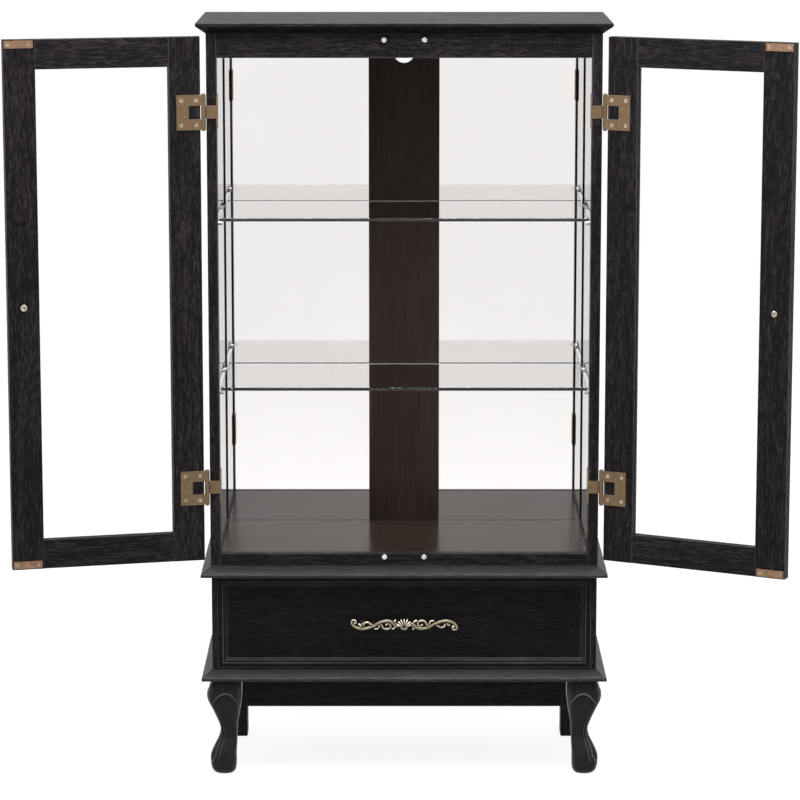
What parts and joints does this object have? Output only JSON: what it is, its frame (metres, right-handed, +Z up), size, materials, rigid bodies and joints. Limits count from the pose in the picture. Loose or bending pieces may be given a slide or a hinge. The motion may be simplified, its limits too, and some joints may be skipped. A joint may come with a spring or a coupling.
{
  "type": "china cabinet",
  "caption": "Free-standing display cabinet with hinged glass doors, glass shelves and a mirrored back, on a drawer base with cabriole front legs.",
  "frame": {"origin": "on the floor, under the middle of the case's width and depth (without the doors and the moulding's overhang)", "axes": "+X to the right as seen from the front, +Y towards the back, +Z up"},
  "size_m": [1.159, 0.3965, 1.15],
  "materials": {
    "black_wood": "black stain over open oak grain, satin",
    "inner_wood": "brown-black stain, semi-gloss",
    "plain_board": "black paper-faced board, matt",
    "clear_glass": "clear tempered, polished",
    "shelf_glass": "clear tempered with polished green edges",
    "mirror": "silvered glass",
    "hinge_bronze": "antique bronze, brushed",
    "strike_copper": "antique copper plate, satin",
    "antique_brass": "antique brass, dark in the recesses",
    "bright_steel": "nickel plated"
  },
  "bodies": {
    "cabinet": {"back_panel": "plain_board", "base_board": "black_wood", "case_runners": "bright_steel", "catch_magnets": "bright_steel", "center_board": "inner_wood", "cornice_board": "black_wood", "deck_panel": "inner_wood", "deck_rail": "inner_wood", "front_apron": "black_wood", "header_rail": "inner_wood", "hinge_frame_leaves": "hinge_bronze", "hinge_frame_screws": "bright_steel", "hinge_pins": "hinge_bronze", "left_front_leg": "black_wood", "left_front_stile": "black_wood", "left_mirror": "mirror", "left_rear_stile": "black_wood", "left_side_glass": "clear_glass", "left_side_rails": "black_wood", "left_stand_side": "black_wood", "lower_glass_shelf": "shelf_glass", "middle_board": "black_wood", "rear_apron": "black_wood", "rear_legs": "black_wood", "right_front_leg": "black_wood", "right_front_stile": "black_wood", "right_mirror": "mirror", "right_rear_stile": "black_wood", "right_side_glass": "clear_glass", "right_side_rails": "black_wood", "right_stand_side": "black_wood", "shelf_pins": "bright_steel", "side_aprons": "black_wood", "stand_back_panel": "plain_board", "upper_glass_shelf": "shelf_glass"},
    "left_door": {"left_door_bottom_rail": "black_wood", "left_door_free_stile": "black_wood", "left_door_glass": "clear_glass", "left_door_hinge_stile": "black_wood", "left_door_leaves": "hinge_bronze", "left_door_screws": "bright_steel", "left_door_top_rail": "black_wood", "left_knob": "antique_brass", "left_strike_plates": "strike_copper"},
    "right_door": {"right_door_bottom_rail": "black_wood", "right_door_free_stile": "black_wood", "right_door_glass": "clear_glass", "right_door_hinge_stile": "black_wood", "right_door_leaves": "hinge_bronze", "right_door_screws": "bright_steel", "right_door_top_rail": "black_wood", "right_knob": "antique_brass", "right_strike_plates": "strike_copper"},
    "drawer": {"drawer_back": "plain_board", "drawer_bottom": "plain_board", "drawer_front": "black_wood", "drawer_pull": "antique_brass", "drawer_runners": "bright_steel", "drawer_sides": "plain_board", "pull_screws": "bright_steel"}
  },
  "joints": [
    {"name": "left_door_hinge", "type": "hinge", "parent": "cabinet", "child": "left_door", "pos_m": [-0.298, -0.132, 0.734], "axis": [0, 0, -1], "range_deg": [-166, 9]},
    {"name": "right_door_hinge", "type": "hinge", "parent": "cabinet", "child": "right_door", "pos_m": [0.298, -0.132, 0.734], "axis": [0, 0, 1], "range_deg": [-153, 22]},
    {"name": "drawer_slide", "type": "slide", "parent": "cabinet", "child": "drawer", "axis": [0, -1, 0], "range_m": [0, 0.16]}
  ]
}
